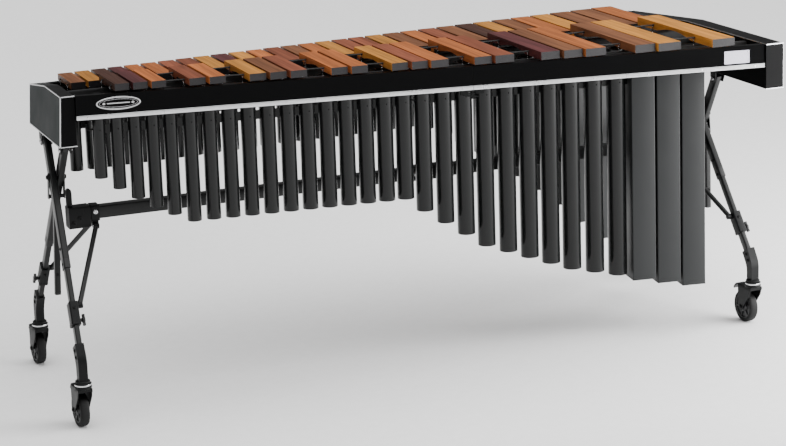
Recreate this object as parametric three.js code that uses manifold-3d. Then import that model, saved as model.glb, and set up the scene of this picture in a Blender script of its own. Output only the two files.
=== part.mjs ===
// Concert marimba, 4.3 octaves (A2 to C7), on a wheeled frame with X-shaped legs.
// Millimetres, +Z up. X runs along the keyboard: high notes at -X, low notes at +X.
// The accidental bars are on the -Y side and the natural bars on the +Y side. The floor is z = 0.
import * as THREE from 'three';
import { mergeVertices } from 'three/addons/utils/BufferGeometryUtils.js';
import Module from 'manifold-3d';

const wasm = await Module();
wasm.setup();

// ---- driving dimensions -------------------------------------------------------------------
const gap = 0.3; // left between pieces that touch
const frameLength = 2080; // the length over which the sides spread from narrow to wide
const halfWidthHigh = 190; // centre line to the end-board's end, high notes
const halfWidthLow = 485; // the same, low notes
const boardTop = 915;
// The high board's outer face splays outwards towards its lower edge.
const highBoard = { outerX: -1045, thick: 41, splay: 0.065, bottom: 772, farTop: 889 };
const lowBoard = { outerX: 1048, thick: 60, splay: 0, bottom: 780, farTop: 877 };

const fasciaThick = 20;
const nearFascia = { bottom: 845, top: 914 };
const farFascia = { bottom: 822, top: 887 };
const frameJointX = 112; // where the two halves of the folding frame meet

const stripHeight = 12;
const stripThick = 2.5;
const stripZ = 852;

const naturalCount = 31;
const slotCount = 30; // places between neighbouring naturals
const emptySlots = [0, 4, 7, 11, 14, 18, 21, 25, 28]; // slots with no accidental bar
const firstSlotX = -926;
const pitchGrades = [[4, 50.5], [8, 56], [17, 57.5], [20, 63], [24, 67.5], [27, 74], [31, 82]];
const lowNaturalShift = 29; // the low naturals stand off the middle of their slots, towards the high end
const barSpacing = 9.5; // free space between neighbouring bars
const barThickHigh = 19;
const barThickLow = 24;
const naturalBarTop = 918;
const accidentalBarTop = 940;
const nodalFraction = 0.224; // where a bar rests, as a share of its length from each end
const cordRadius = 2.2;
const supportThick = 18;
const supportHeight = 46;
const supportDrop = 9; // below the underside of the bars
const postWidth = 3.5;
const postClear = 1.5; // between a cord post and the side of its bar

const tubeWall = 1.6;
const tubeSides = 10;
const roundTubes = 27; // the lowest resonators of a row are rectangular boxes
const boxDepth = 84;
const resonatorTopClear = 16; // below the underside of the bars
const stripWeb = 4;
const stripWebHeight = 26;

const beamSize = 36;
const beamTop = 554;
const beamClampX = 926;
const lugHalf = 16; // half-width of the lug under each beam clamp

const legSpread = 34.2 * Math.PI / 180; // each leg's angle from the vertical
// Leans are measured outwards, towards the feet. The posts stand aside of the crossing by `aside`.
// Distances along a leg run down from the crossing: the sleeve reaches from -up to down.
const highFrame = {
  hubX: -1028.5, hubZ: 650, lean: 2.6 * Math.PI / 180,
  sleeve: { up: 128, down: 278 }, legEnd: 553,
  post: { aside: -1.5, lean: 2.6 * Math.PI / 180, top: 604, bottom: 306 },
};
const lowFrame = {
  hubX: 1041, hubZ: 613, lean: 3.8 * Math.PI / 180,
  sleeve: { up: 176, down: 218 }, legEnd: 512,
  post: { aside: 17, lean: 0.6 * Math.PI / 180, top: 566, bottom: 308 },
};
const outerTube = { wide: 20, deep: 32, wall: 1.8 };
const innerTube = { wide: 15, deep: 26, wall: 2, length: 461 };
const bracket = { deep: 36, stem: 30, long: 50 }; // bent bracket between leg and caster
const collarAbove = 174; // from the end of the leg up to the brace's collar
const collarLength = 68;
const braceRadius = 7.5;
const postSize = 17;

const wheelRadius = 50;
const wheelWide = 29;
const casterTrail = 38;
const casterTop = 138;
const casterAngle = 3 * Math.PI / 180; // the wheels trail towards the far side

// ---- materials ----------------------------------------------------------------------------
const finish = (color, roughness, metalness) => ({ color, roughness, metalness });
const glossBlack = finish(0x0b0b0c, 0.22, 0);
const boardBlack = finish(0x26292b, 0.42, 0);
const matBlack = finish(0x141415, 0.6, 0);
const bright = finish(0xd6d8da, 0.25, 1);
const blackSteel = finish(0x2a2c2d, 0.45, 0.4);
const tubeBlack = finish(0x17191a, 0.28, 0.5);
const rosewood = finish(0x9a5a34, 0.35, 0);
const rubber = finish(0x111111, 0.75, 0);
const plastic = finish(0x161616, 0.5, 0);
const paperWhite = finish(0xe6e4ec, 0.5, 0);

// ---- small tools --------------------------------------------------------------------------
const instrument = new THREE.Group();

function addPart(name, geometry, look, parent = instrument) {
  const mesh = new THREE.Mesh(geometry, new THREE.MeshStandardMaterial(look));
  mesh.name = name;
  parent.add(mesh);
  return mesh;
}

function toSolid(geometry) {
  const bare = geometry.clone();
  bare.deleteAttribute('normal');
  bare.deleteAttribute('uv');
  const merged = mergeVertices(bare, 1e-4);
  return new wasm.Manifold(new wasm.Mesh({
    numProp: 3,
    vertProperties: new Float32Array(merged.attributes.position.array),
    triVerts: new Uint32Array(merged.index.array),
  }));
}

function toGeometry(solid) {
  const mesh = solid.getMesh();
  const geometry = new THREE.BufferGeometry();
  geometry.setAttribute('position', new THREE.BufferAttribute(mesh.vertProperties, 3));
  geometry.setIndex(new THREE.BufferAttribute(mesh.triVerts, 1));
  return geometry;
}

function joined(geometries) {
  return geometries.map(toSolid).reduce((whole, piece) => whole.add(piece));
}

// A box given by its two corners.
function block(x0, x1, y0, y1, z0, z1) {
  const geometry = new THREE.BoxGeometry(x1 - x0, y1 - y0, z1 - z0);
  return geometry.translate((x0 + x1) / 2, (y0 + y1) / 2, (z0 + z1) / 2);
}

// An outline of [x, y] points, raised from z0 to z1.
function slab(points, z0, z1) {
  const shape = new THREE.Shape(points.map(([x, y]) => new THREE.Vector2(x, y)));
  const geometry = new THREE.ExtrudeGeometry(shape, { depth: z1 - z0, bevelEnabled: false });
  return geometry.translate(0, 0, z0);
}

// An outline of [y, z] points, stretched along X from x0 to x1.
function plate(points, x0, x1) {
  const geometry = slab(points, 0, x1 - x0);
  geometry.applyMatrix4(new THREE.Matrix4().set(0, 0, 1, x0, 1, 0, 0, 0, 0, 1, 0, 0, 0, 0, 0, 1));
  return geometry;
}

// A rectangular tube along Z, from z0 to z1, centred on the axis.
function boxTube(wide, deep, wall, z0, z1) {
  const outline = (w, d) => [[-w / 2, -d / 2], [w / 2, -d / 2], [w / 2, d / 2], [-w / 2, d / 2]];
  const shape = new THREE.Shape(outline(wide, deep).map(([x, y]) => new THREE.Vector2(x, y)));
  const bore = outline(wide - 2 * wall, deep - 2 * wall).map(([x, y]) => new THREE.Vector2(x, y));
  shape.holes.push(new THREE.Path(bore));
  const geometry = new THREE.ExtrudeGeometry(shape, { depth: z1 - z0, bevelEnabled: false });
  return geometry.translate(0, 0, z0);
}

// A cylinder between two points.
function rod(from, to, radius, sides) {
  const along = new THREE.Vector3().subVectors(to, from);
  const geometry = new THREE.CylinderGeometry(radius, radius, along.length(), sides);
  const up = new THREE.Vector3(0, 1, 0);
  geometry.applyQuaternion(new THREE.Quaternion().setFromUnitVectors(up, along.clone().normalize()));
  const middle = new THREE.Vector3().addVectors(from, to).multiplyScalar(0.5);
  return geometry.translate(middle.x, middle.y, middle.z);
}

const mix = (a, b, t) => a + (b - a) * t;
const alongKeyboard = (x) => (x + frameLength / 2) / frameLength;
const halfWidthAt = (x) => mix(halfWidthHigh, halfWidthLow, alongKeyboard(x));

// ---- end-boards ---------------------------------------------------------------------------
// The boards are level over the accidentals and fall away over the naturals.
// Under each one sit the two fork brackets that hold the tops of the legs.
function endBoard(name, board, halfWidth, outward, legTops) {
  const { outerX, splay } = board;
  const inner = outerX - outward * board.thick;
  const outline = [
    [-halfWidth, board.bottom], [halfWidth, board.bottom], [halfWidth, board.farTop],
    [0, boardTop], [-halfWidth, boardTop],
  ];
  const panel = plate(outline, Math.min(outerX, inner), Math.max(outerX, inner));
  const corners = panel.attributes.position;
  for (let i = 0; i < corners.count; i++) {
    if (Math.abs(corners.getX(i) - outerX) < 0.01) {
      corners.setX(i, outerX + outward * splay * (boardTop - corners.getZ(i)));
    }
  }
  const pieces = [panel];
  for (const top of legTops) {
    const cheek = outerTube.wide / 2 + 3;
    for (const side of [-1, 1]) {
      const x = top.x + side * (cheek + 1.5);
      pieces.push(block(x - 1.5, x + 1.5, top.y - 17, top.y + 17, top.z - 26, board.bottom + 2));
    }
    pieces.push(block(top.x - cheek - 3, top.x + cheek + 3, top.y - 17, top.y + 17,
      board.bottom - 3, board.bottom + 2));
  }
  addPart(name, toGeometry(joined(pieces)), boardBlack);
}

// ---- rails --------------------------------------------------------------------------------
const highInnerX = highBoard.outerX + highBoard.thick + gap;
const lowInnerX = lowBoard.outerX - lowBoard.thick - gap;

// A straight board between x0 and x1 whose two faces follow the functions near and far.
function railSlab(x0, x1, near, far, bottom, top) {
  return slab([[x0, near(x0)], [x1, near(x1)], [x1, far(x1)], [x0, far(x0)]], bottom, top);
}

function fascia(name, side, x0, x1, size) {
  const outer = (x) => side * halfWidthAt(x);
  const inner = (x) => side * (halfWidthAt(x) - fasciaThick);
  const [near, far] = side < 0 ? [outer, inner] : [inner, outer];
  addPart(name, railSlab(x0, x1, near, far, size.bottom, size.top), glossBlack);
}
fascia('near_rail_high', -1, highInnerX, frameJointX - gap, nearFascia);
fascia('near_rail_low', -1, frameJointX + gap, lowInnerX, nearFascia);
fascia('far_rail_high', 1, highInnerX, frameJointX - gap, farFascia);
fascia('far_rail_low', 1, frameJointX + gap, lowInnerX, farFascia);

// A bright strip along the near rail, a blank oval badge and a blank label plate on it.
const railFace = (x) => -halfWidthAt(x) - gap;
const stripFace = (x) => railFace(x) - stripThick;
for (const [name, x0, x1] of [['near_strip_high', highInnerX, frameJointX - gap],
  ['near_strip_low', frameJointX + gap, lowInnerX]]) {
  const half = stripHeight / 2;
  addPart(name, railSlab(x0, x1, stripFace, railFace, stripZ - half, stripZ + half), bright);
}

const railTurn = -Math.atan2(halfWidthLow - halfWidthHigh, frameLength);

function railPlate(name, x, z, shape, thick, look) {
  const settings = { depth: thick, bevelEnabled: false, curveSegments: 8 };
  const geometry = new THREE.ExtrudeGeometry(shape, settings);
  geometry.rotateX(Math.PI / 2);
  const mesh = addPart(name, geometry, look);
  mesh.rotation.z = railTurn;
  mesh.position.set(x, railFace(x), z);
}
const badge = new THREE.Shape();
badge.absellipse(0, 0, 62, 19, 0, 2 * Math.PI);
railPlate('badge_plate', -888, 887, badge, 2, bright);
const labelCorners = [[-39, -19], [39, -19], [39, 19], [-39, 19]];
const label = new THREE.Shape(labelCorners.map(([x, y]) => new THREE.Vector2(x, y)));
railPlate('label_plate', 902, 882, label, 1.2, paperWhite);

// Latches that hold the two frame halves together, under the rails at the joint.
for (const [name, side, size] of [['near_latch', -1, nearFascia], ['far_latch', 1, farFascia]]) {
  const y = side * (halfWidthAt(frameJointX) - fasciaThick / 2);
  const body = block(-38, 38, -8, 8, -14, 0);
  const lever = block(-30, 16, 2 * side - 3, 2 * side + 3, -22, -13);
  const mesh = addPart(name, toGeometry(joined([body, lever])), blackSteel);
  mesh.rotation.z = side * -railTurn;
  mesh.position.set(frameJointX, y, size.bottom - gap);
}

// ---- bars ---------------------------------------------------------------------------------
function pitchOf(index) {
  return pitchGrades.find(([end]) => index < end)[1];
}
const slotX = [firstSlotX];
for (let slot = 1; slot < slotCount; slot++) {
  slotX.push(slotX[slot - 1] + pitchOf(slot - 1));
}
function naturalX(index) {
  const before = index === 0 ? slotX[0] - pitchOf(0) : slotX[index - 1];
  const after = index === naturalCount - 1 ? slotX[slotCount - 1] + pitchOf(index) : slotX[index];
  return (before + after) / 2 - lowNaturalShift * (index / (naturalCount - 1)) ** 3;
}

// The lines that the bar ends follow, from the high end to the low end.
const accidentalEnds = {
  near: (x) => -halfWidthAt(x) + 1,
  far: (x) => mix(-42, 22, alongKeyboard(x)),
};
const naturalEnds = {
  near: (x) => mix(-18, 26, alongKeyboard(x)),
  far: (x) => mix(138, 390, alongKeyboard(x)),
};
function nodeLine(ends, side) {
  const share = side < 0 ? nodalFraction : 1 - nodalFraction;
  return (x) => mix(ends.near(x), ends.far(x), share);
}

// One bar: flat on top, hollowed underneath between its two resting points.
function barGeometry(x, ends, width, thick, top, archDeep) {
  const near = ends.near(x);
  const far = ends.far(x);
  const steps = 6;
  const outline = [[far, top], [near, top], [near, top - thick]];
  for (let i = 0; i <= steps; i++) {
    const t = i / steps;
    const y = mix(mix(near, far, 0.27), mix(near, far, 0.73), t);
    outline.push([y, top - thick + archDeep * Math.sin(Math.PI * t)]);
  }
  outline.push([far, top - thick]);
  return plate(outline.reverse(), x - width / 2, x + width / 2);
}

function barGroup(name, bars, ends, top) {
  const pieces = bars.map(({ x, width, t }) => {
    const thick = mix(barThickHigh, barThickLow, t);
    return barGeometry(x, ends, width, thick, top, thick * mix(0.15, 0.6, t));
  });
  const spare = 2.5; // how far the cords run past the outermost bars
  const first = bars[0].x - bars[0].width / 2 - spare;
  const last = bars[bars.length - 1].x + bars[bars.length - 1].width / 2 + spare;
  for (const side of [-1, 1]) {
    const line = nodeLine(ends, side);
    const z = top - barThickHigh / 2 - 1;
    const from = new THREE.Vector3(first, line(first), z);
    const to = new THREE.Vector3(last, line(last), z);
    pieces.push(rod(from, to, cordRadius, 6));
  }
  addPart(name, toGeometry(joined(pieces)), rosewood);
}

const naturals = [];
for (let i = 0; i < naturalCount; i++) {
  const toNext = Math.min(...[i, i + 1].filter((k) => k > 0 && k < naturalCount)
    .map((k) => naturalX(k) - naturalX(k - 1)));
  naturals.push({ x: naturalX(i), width: toNext - barSpacing, t: i / (naturalCount - 1) });
}
const accidentals = [];
for (let slot = 0; slot < slotCount; slot++) {
  if (emptySlots.includes(slot)) continue;
  accidentals.push({ x: slotX[slot], width: pitchOf(slot) - barSpacing, t: slot / (slotCount - 1) });
}
const highNotes = ({ t }) => t < 0.55;
const lowNotes = ({ t }) => t >= 0.55;
barGroup('natural_bars_high', naturals.filter(highNotes), naturalEnds, naturalBarTop);
barGroup('natural_bars_low', naturals.filter(lowNotes), naturalEnds, naturalBarTop);
barGroup('accidental_bars_high', accidentals.filter(highNotes), accidentalEnds, accidentalBarTop);
barGroup('accidental_bars_low', accidentals.filter(lowNotes), accidentalEnds, accidentalBarTop);

// ---- support rails with cord posts --------------------------------------------------------
function supportRail(name, bars, ends, side, top) {
  const line = nodeLine(ends, side);
  const railTop = top - barThickLow - supportDrop;
  const near = (x) => line(x) - supportThick / 2;
  const far = (x) => line(x) + supportThick / 2;
  const pieces = [railSlab(highInnerX, lowInnerX, near, far, railTop - supportHeight, railTop)];
  const postTopZ = top - barThickHigh / 2 - 1 - cordRadius - 1;
  const places = [];
  for (const { x, width } of bars) {
    const aside = (width + postWidth) / 2 + postClear;
    places.push(x - aside, x + aside);
  }
  for (const x of places) {
    const w = postWidth / 2;
    pieces.push(block(x - w, x + w, line(x) - w, line(x) + w, railTop - 3, postTopZ));
  }
  addPart(name, toGeometry(joined(pieces)), matBlack);
}
supportRail('near_support_rail', accidentals, accidentalEnds, -1, accidentalBarTop);
supportRail('near_inner_rail', accidentals, accidentalEnds, 1, accidentalBarTop);
supportRail('far_inner_rail', naturals, naturalEnds, -1, naturalBarTop);
supportRail('far_support_rail', naturals, naturalEnds, 1, naturalBarTop);

// ---- resonators ---------------------------------------------------------------------------
const stepGrades = [[4, 42], [8, 25.5], [slotCount, 17.8]]; // fall of each tube below the last

// Near row: the lower ends rise in a step towards the high notes, run level, then fall away.
function nearTubeBottom(slot) {
  const levelZ = 511;
  const firstLevel = 5;
  const lastLevel = 16;
  if (slot < firstLevel) return levelZ + 24 * (firstLevel - slot) + 1.2 * (firstLevel - slot) ** 2;
  if (slot <= lastLevel) return levelZ;
  let bottom = levelZ;
  for (let past = 1; past <= slot - lastLevel; past++) {
    bottom -= stepGrades.find(([end]) => past <= end)[1];
  }
  return bottom;
}

// Far row: level over most of its length, then falling away more and more.
function farTubeBottom(index) {
  const levelZ = 647;
  const lastLevel = 19;
  if (index <= lastLevel) return levelZ;
  return levelZ - 510 * ((index - lastLevel) / (naturalCount - 1 - lastLevel)) ** 1.5;
}

function resonatorSolids({ x, y, width, bottom, box, turn }, top) {
  if (!box) {
    const radius = width / 2;
    const outer = new THREE.CylinderGeometry(radius, radius, top - bottom, tubeSides);
    outer.rotateX(Math.PI / 2).rotateZ(turn).translate(x, y, (top + bottom) / 2);
    const bore = new THREE.CylinderGeometry(radius - tubeWall, radius - tubeWall, top - bottom, tubeSides);
    bore.rotateX(Math.PI / 2).rotateZ(turn).translate(x, y, (top + bottom) / 2 + 3);
    return { outer, bore };
  }
  const outer = block(-width / 2, width / 2, -boxDepth / 2, boxDepth / 2, bottom, top);
  const inset = tubeWall + 0.4;
  const bore = block(-width / 2 + inset, width / 2 - inset, -boxDepth / 2 + inset, boxDepth / 2 - inset,
    bottom + 3, top + 3);
  return { outer: outer.rotateZ(turn).translate(x, y, 0), bore: bore.rotateZ(turn).translate(x, y, 0) };
}

function resonatorBank(name, tubes, top, webZ) {
  let whole = null;
  let bores = null;
  const put = (solid) => {
    whole = whole ? whole.add(solid) : solid;
  };
  for (const tube of tubes) {
    const { outer, bore } = resonatorSolids(tube, top);
    put(toSolid(outer));
    bores = bores ? bores.add(toSolid(bore)) : toSolid(bore);
  }
  const first = tubes[0];
  const last = tubes[tubes.length - 1];
  const web = (x0, y0, x1, y1) => slab(
    [[x0, y0 - stripWeb / 2], [x1, y1 - stripWeb / 2], [x1, y1 + stripWeb / 2], [x0, y0 + stripWeb / 2]],
    webZ - stripWebHeight / 2, webZ + stripWebHeight / 2,
  );
  put(toSolid(web(first.x, first.y, last.x, last.y)));
  addPart(name, toGeometry(whole.subtract(bores)), tubeBlack);
}

const tubeWidth = (t) => mix(37.6, 60, t);
const boxWidth = 73;
const nearRowY = (t) => mix(-120, -243, t);
const farRowY = (t) => mix(66, 208, t);
function rowTubes(count, xOf, yOf, bottomOf, firstBox, turn) {
  const tubes = [];
  for (let i = 0; i < count; i++) {
    const t = i / (count - 1);
    const box = i >= firstBox;
    tubes.push({
      x: xOf(i), y: yOf(t), bottom: bottomOf(i), box, index: i,
      width: box ? boxWidth : tubeWidth(t), turn: box ? turn : 0,
    });
  }
  return tubes;
}
const nearTubes = rowTubes(slotCount, (i) => slotX[i], nearRowY, nearTubeBottom, roundTubes, railTurn);
const farTubes = rowTubes(naturalCount, naturalX, farRowY, farTubeBottom, roundTubes + 1, -railTurn);
const accidentalTubeTop = accidentalBarTop - barThickLow - resonatorTopClear;
const naturalTubeTop = naturalBarTop - barThickLow - resonatorTopClear;
const splitTube = 16;
const highTubes = ({ index }) => index <= splitTube;
const lowTubes = ({ index }) => index > splitTube;
resonatorBank('near_resonators_high', nearTubes.filter(highTubes), accidentalTubeTop, 800);
resonatorBank('near_resonators_low', nearTubes.filter(lowTubes), accidentalTubeTop, 800);
resonatorBank('far_resonators_high', farTubes.filter(highTubes), naturalTubeTop, 780);
resonatorBank('far_resonators_low', farTubes.filter(lowTubes), naturalTubeTop, 780);

// ---- centre beam --------------------------------------------------------------------------
// The blocks that join the beam to the end frames start beside the crossed legs.
const highBlockX = highFrame.hubX + outerTube.wide + 5;
const lowBlockX = lowFrame.hubX - outerTube.wide - 3;
const highBlockLength = 62;
const lowBlockLength = 52;
const socketDepth = 20;
const highBeamEnd = highBlockX + highBlockLength - socketDepth;
const lowBeamEnd = lowBlockX - lowBlockLength + socketDepth;
const beam = boxTube(beamSize, beamSize, 2, highBeamEnd, lowBeamEnd);
beam.rotateY(Math.PI / 2).translate(0, 0, beamTop - beamSize / 2);
addPart('centre_beam', beam, blackSteel);

const coupling = boxTube(beamSize + 7, beamSize + 7, 3.2, -70, 70);
coupling.rotateY(Math.PI / 2).translate(frameJointX, 0, beamTop - beamSize / 2);
addPart('beam_coupling', coupling, blackSteel);

// ---- end frames: crossed legs, post, braces, casters --------------------------------------
const down = (sideY) => new THREE.Vector3(0, sideY * Math.sin(legSpread), -Math.cos(legSpread));

// Turns a solid made along Z so that it runs down a leg.
function alongLeg(geometry, sideY) {
  return geometry.rotateX(-sideY * (Math.PI - legSpread));
}

function leanGroup(frame, outward) {
  const group = new THREE.Group();
  group.position.set(frame.hubX, 0, frame.hubZ);
  group.rotation.y = -outward * frame.lean;
  instrument.add(group);
  group.updateMatrixWorld();
  return group;
}

// Where a point given in a leaning group's own axes is in the instrument's axes.
const placeOf = (group, point) => point.clone().applyMatrix4(group.matrixWorld);

// Both frames are alike and turned to face each other: the leg with the near foot runs on the
// high side of the leg with the far foot.
const legPlane = (sideY) => sideY * (outerTube.wide / 2 + 0.4);

function caster(end, sideName, foot) {
  const group = new THREE.Group();
  group.position.set(foot.x, foot.y, 0);
  group.rotation.z = casterAngle;
  instrument.add(group);
  const trail = casterTrail;
  const half = wheelWide / 2;

  // Wheel: tread, rim and hub in one turned solid, with its bore along local X.
  const bore = 5;
  const profile = [
    [bore, -half], [14, -half], [16, -half + 5], [36, -half + 5], [40, -half + 1], [46, -half + 1],
    [wheelRadius, -half + 6], [wheelRadius, half - 6], [46, half - 1], [40, half - 1], [36, half - 5],
    [16, half - 5], [14, half], [bore, half], [bore, -half],
  ];
  const wheel = new THREE.LatheGeometry(profile.map(([r, x]) => new THREE.Vector2(r, x)), 24);
  const axleZ = wheelRadius * Math.cos(Math.PI / 24);
  wheel.rotateZ(-Math.PI / 2).rotateX(Math.PI / 24).translate(0, trail, axleZ);
  addPart(`${end}_${sideName}_wheel`, wheel, rubber, group);

  // Fork: swivel head, two cheeks and the axle between them.
  const headTall = 18;
  const head = new THREE.CylinderGeometry(22, 25, headTall, 16).rotateX(Math.PI / 2);
  head.translate(0, 0, casterTop - gap - headTall / 2);
  const crown = block(-21, 21, -20, trail + 14, casterTop - 26, casterTop - 17);
  const pieces = [head, crown];
  for (const side of [-1, 1]) {
    const cheek = [
      [-20, casterTop - 18], [trail - 14, 40], [trail, 34], [trail + 13, 44], [trail + 14, casterTop - 18],
    ];
    const inner = side < 0 ? -21 : 18;
    pieces.push(plate(cheek, inner, inner + 3));
  }
  const axleFrom = new THREE.Vector3(-20, trail, axleZ);
  const axleTo = new THREE.Vector3(20, trail, axleZ);
  pieces.push(rod(axleFrom, axleTo, bore - 0.6, 10));
  addPart(`${end}_${sideName}_fork`, toGeometry(joined(pieces)), blackSteel, group);

  // Brake pedal: a bent lever over the tread, hinged at the back of the crown.
  const lever = plate([
    [trail + 15, casterTop - 26], [trail + 15, casterTop - 19], [trail + 40, casterTop - 24],
    [trail + 54, casterTop - 40], [trail + 51, casterTop - 43], [trail + 38, casterTop - 30],
  ].reverse(), -12, 12);
  addPart(`${end}_${sideName}_brake_pedal`, lever, plastic, group);
}

function boxSolid(wide, deep, z0, z1) {
  return block(-wide / 2, wide / 2, -deep / 2, deep / 2, z0, z1);
}

// The bracket below an inner leg: it follows the leg, then bends upright over the caster.
function bentBracket(foot, sideY) {
  const onSide = (along, across) => [
    foot.y + sideY * (along * Math.sin(legSpread) + across * Math.cos(legSpread)),
    foot.z - along * Math.cos(legSpread) + across * Math.sin(legSpread),
  ];
  const half = bracket.deep / 2;
  const turn = (bracket.stem / 2 - half * Math.cos(legSpread)) / Math.sin(legSpread);
  const outline = [
    onSide(-bracket.long, half), onSide(turn, half),
    [foot.y + sideY * bracket.stem / 2, casterTop], [foot.y - sideY * bracket.stem / 2, casterTop],
    onSide(-turn, -half), onSide(-bracket.long, -half),
  ];
  return plate(outline, foot.x - 13, foot.x + 13);
}

function endFrame(end, frame, outward) {
  const group = leanGroup(frame, outward);
  const tops = [];
  for (const [sideName, sideY] of [['near', -1], ['far', 1]]) {
    const planeX = legPlane(sideY);
    const onLeg = (along, aside = 0) => placeOf(group,
      new THREE.Vector3(planeX + aside, 0, 0).addScaledVector(down(sideY), along));
    const legSolid = (geometry) => toSolid(
      alongLeg(geometry, sideY).translate(planeX, 0, 0).applyMatrix4(group.matrixWorld));

    // Outer tube: from under the end-board, past the crossing, to the open lower end.
    const sleeve = boxTube(outerTube.wide, outerTube.deep, outerTube.wall,
      -frame.sleeve.up, frame.sleeve.down);
    alongLeg(sleeve, sideY).translate(planeX, 0, 0);
    addPart(`${end}_${sideName}_leg_sleeve`, sleeve, blackSteel, group);
    tops.push(onLeg(-frame.sleeve.up));

    // Inner leg: slides in the sleeve and carries the bent caster bracket.
    const foot = onLeg(frame.legEnd);
    const { wide, deep, wall, length } = innerTube;
    const inner = legSolid(boxTube(wide, deep, wall, frame.legEnd - length, frame.legEnd));
    const bend = toSolid(bentBracket(foot, sideY));
    addPart(`${end}_${sideName}_inner_leg`, toGeometry(inner.add(bend)), blackSteel);
    caster(end, sideName, foot);

    // Brace: from the clamp on the beam down to a collar round the inner leg.
    const collarAlong = frame.legEnd - collarAbove;
    const collarEnd = collarAlong + collarLength;
    const collar = legSolid(boxSolid(wide + 11, deep + 10, collarAlong, collarEnd));
    const passage = legSolid(boxSolid(wide + 1.6, deep + 1.6, collarAlong - 60, collarEnd + 9));
    const start = new THREE.Vector3(outward * beamClampX, sideY * (lugHalf + 6), beamTop - beamSize - 15);
    const ear = onLeg(collarAlong + 12, -outward * (wide / 2 + 11));
    const brace = toSolid(rod(start, ear, braceRadius, 10));
    addPart(`${end}_${sideName}_brace`, toGeometry(brace.add(collar).subtract(passage)), blackSteel);

    // Clamp knob, on the +X face of the near collars and the -X face of the far ones.
    const knobSide = -sideY;
    const seat = onLeg(collarAlong + 52, knobSide * (wide / 2 + 5.5 + gap));
    const out = new THREE.Vector3(knobSide, 0, 0).transformDirection(group.matrixWorld);
    const neck = rod(seat, seat.clone().addScaledVector(out, 11), 5, 8);
    const wings = new THREE.BoxGeometry(8, 34, 13).applyQuaternion(group.quaternion);
    const wingAt = seat.clone().addScaledVector(out, 12);
    wings.translate(wingAt.x, wingAt.y, wingAt.z);
    addPart(`${end}_${sideName}_clamp_knob`, toGeometry(toSolid(neck).add(toSolid(wings))), plastic);
  }

  const { aside, lean, top, bottom } = frame.post;
  const post = boxTube(postSize, postSize, 2, bottom - frame.hubZ, top - frame.hubZ);
  post.rotateY(-outward * lean).translate(frame.hubX + aside, 0, frame.hubZ);
  addPart(`${end}_post`, post, blackSteel);
  return tops;
}

const highTops = endFrame('high', highFrame, -1);
const lowTops = endFrame('low', lowFrame, 1);
endBoard('end_board_high', highBoard, halfWidthHigh, -1, highTops);
endBoard('end_board_low', lowBoard, halfWidthLow, 1, lowTops);

// Beam clamps: a collar round the beam, and a lug below it that takes the tops of the braces.
for (const [end, side] of [['high', -1], ['low', 1]]) {
  const x = side * beamClampX;
  const reach = beamSize / 2 + 5;
  const middle = beamTop - beamSize / 2;
  const collar = toSolid(block(x - 12, x + 12, -reach, reach, middle - reach, middle + reach));
  const hole = beamSize / 2 + gap;
  const opening = toSolid(block(x - 13, x + 13, -hole, hole, middle - hole, middle + hole));
  const lug = toSolid(block(x - 9, x + 9, -lugHalf, lugHalf, middle - reach - 18, middle - reach + 2));
  addPart(`${end}_beam_clamp`, toGeometry(collar.subtract(opening).add(lug)), blackSteel);
}

// Blocks that take the two ends of the beam; the high one carries an upright stop.
function beamBlock(end, x, side, length) {
  const spanOf = (from, to) => [x + side * from, x + side * to].sort((a, b) => a - b);
  const [x0, x1] = spanOf(0, length);
  const half = beamSize / 2 + 6;
  let body = toSolid(block(x0, x1, -half, half, 497, beamTop + 5));
  if (end === 'high') {
    body = body.add(toSolid(block(x0, x0 + 15, -8, 8, beamTop, 612)));
  }
  const hole = beamSize / 2 + gap;
  const [s0, s1] = spanOf(length - socketDepth - gap, length + 1);
  const socket = toSolid(block(s0, s1, -hole, hole, beamTop - beamSize - gap, beamTop + gap));
  addPart(`${end}_beam_block`, toGeometry(body.subtract(socket)), blackSteel);
}
beamBlock('high', highBlockX, 1, highBlockLength);
beamBlock('low', lowBlockX, -1, lowBlockLength);

// The origin is on the floor, below the middle of the whole.
const bounds = new THREE.Box3().setFromObject(instrument);
instrument.position.x = -(bounds.min.x + bounds.max.x) / 2;
instrument.position.y = -(bounds.min.y + bounds.max.y) / 2;

export default instrument;
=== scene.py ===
import math
import random
import bpy
import bmesh
from mathutils import Matrix, Vector


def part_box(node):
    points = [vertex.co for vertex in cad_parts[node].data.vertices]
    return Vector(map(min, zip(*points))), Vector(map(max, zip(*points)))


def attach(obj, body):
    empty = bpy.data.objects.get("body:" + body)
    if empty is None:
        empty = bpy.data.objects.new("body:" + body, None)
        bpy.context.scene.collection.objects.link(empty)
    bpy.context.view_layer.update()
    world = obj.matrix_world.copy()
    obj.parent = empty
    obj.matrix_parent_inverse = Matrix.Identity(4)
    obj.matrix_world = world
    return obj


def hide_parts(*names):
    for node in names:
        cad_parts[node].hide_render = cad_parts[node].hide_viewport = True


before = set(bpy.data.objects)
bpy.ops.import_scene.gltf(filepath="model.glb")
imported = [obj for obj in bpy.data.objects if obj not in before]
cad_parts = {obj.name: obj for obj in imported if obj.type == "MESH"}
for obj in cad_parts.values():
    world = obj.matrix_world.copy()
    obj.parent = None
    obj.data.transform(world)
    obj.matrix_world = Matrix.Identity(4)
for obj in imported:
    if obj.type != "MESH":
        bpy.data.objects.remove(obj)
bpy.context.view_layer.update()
scene = bpy.context.scene

# All shapes below are given in millimetres on the instrument's own centre line: X along the
# keyboard from high notes to low, +Y towards the naturals, Z up from the floor.
MM = 0.001
FRAME_LENGTH = 2080
HALF_WIDTH_HIGH = 190
HALF_WIDTH_LOW = 485
JOINT_X = 112
GAP = 0.3
CENTRE_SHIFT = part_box("near_rail_high")[1].x / MM - (JOINT_X - GAP)


def mix(a, b, t):
    return a + (b - a) * t


def along(x):
    return (x + FRAME_LENGTH / 2) / FRAME_LENGTH


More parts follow.
